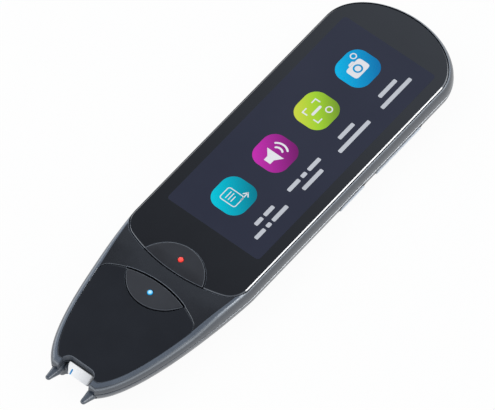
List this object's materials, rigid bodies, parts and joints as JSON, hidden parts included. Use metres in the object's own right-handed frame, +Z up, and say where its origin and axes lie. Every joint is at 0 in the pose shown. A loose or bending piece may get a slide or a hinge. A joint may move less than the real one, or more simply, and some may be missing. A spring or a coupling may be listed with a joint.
{
  "type": "scanning pen",
  "caption": "Flat hand-held scanning pen: long display under a cover glass, split round front button, side keys and a tapered nose with a two-prong sprung tip.",
  "frame": {"origin": "on the resting surface, under the middle of the pen's length and width", "axes": "+Z up out of the display, +Y towards the display's far end with the charging socket, nib towards -Y, side keys on +X"},
  "size_m": [0.0445, 0.1565, 0.0132],
  "materials": {
    "shell_plastic": "satin, lightly metallic dark grey",
    "cover_plastic": "satin",
    "cover_glass": "polished, black backed",
    "gloss_black": "high gloss",
    "display": "smooth dark",
    "button_plastic": "satin",
    "red_light": "clear, lit from below",
    "blue_light": "clear, lit from below",
    "lamp_resin": "clear resin",
    "key_metal": "satin",
    "circuit_board": "satin solder mask",
    "switch_plastic": "matt",
    "nib_plastic": "satin",
    "white_plastic": "smooth white",
    "lens_barrel": "matt",
    "steel": "satin",
    "battery_wrap": "foil pouch",
    "mesh_steel": "fine weave",
    "window_glass": "polished",
    "microphone_can": "plated"
  },
  "bodies": {
    "pen": {"front_frame": "shell_plastic", "rear_cover": "cover_plastic", "cover_glass": "cover_glass", "nose_plate": "gloss_black", "display_module": "display", "home_switch": "switch_plastic", "select_switch": "switch_plastic", "home_lamp": "lamp_resin", "select_lamp": "lamp_resin", "side_key_board": "circuit_board", "power_switch": "switch_plastic", "volume_down_switch": "switch_plastic", "volume_up_switch": "switch_plastic", "nib_switch": "switch_plastic", "light_shroud": "white_plastic", "scan_lens": "lens_barrel", "scan_camera": "steel", "scan_board": "circuit_board", "scan_lamp_1": "lamp_resin", "scan_lamp_2": "lamp_resin", "main_board": "circuit_board", "processor_shield": "steel", "radio_module": "steel", "battery": "battery_wrap", "speaker": "switch_plastic", "speaker_mesh": "mesh_steel", "rear_camera": "switch_plastic", "rear_camera_window": "window_glass", "charging_socket": "steel", "microphone_1": "microphone_can", "microphone_2": "microphone_can", "case_screw_1": "steel", "case_screw_2": "steel", "board_screw_1": "steel", "board_screw_2": "steel", "board_screw_3": "steel", "board_screw_4": "steel"},
    "home_button": {"home_button": "button_plastic", "home_button_light": "red_light"},
    "select_button": {"select_button": "button_plastic", "select_button_light": "blue_light"},
    "volume_rocker": {"volume_rocker": "key_metal"},
    "power_button": {"power_button": "key_metal"},
    "nib_fork": {"nib_fork": "nib_plastic"}
  },
  "joints": [
    {"name": "home_button_press", "type": "slide", "parent": "pen", "child": "home_button", "axis": [0, 0, -1], "range_m": [0, 0.00035], "stiffness_N_per_m": 1500},
    {"name": "select_button_press", "type": "slide", "parent": "pen", "child": "select_button", "axis": [0, 0, -1], "range_m": [0, 0.00035], "stiffness_N_per_m": 1500},
    {"name": "volume_rock", "type": "hinge", "parent": "pen", "child": "volume_rocker", "pos_m": [0.01843, 0.0423, 0.0059], "axis": [0, 0, 1], "range_deg": [-2.5, 2.5], "stiffness_Nm_per_rad": 0.25},
    {"name": "power_press", "type": "slide", "parent": "pen", "child": "power_button", "axis": [-1, 0, 0], "range_m": [0, 0.0004], "stiffness_N_per_m": 1500},
    {"name": "nib_press", "type": "slide", "parent": "pen", "child": "nib_fork", "axis": [0, 1, 0], "range_m": [0, 0.0008], "stiffness_N_per_m": 700}
  ]
}
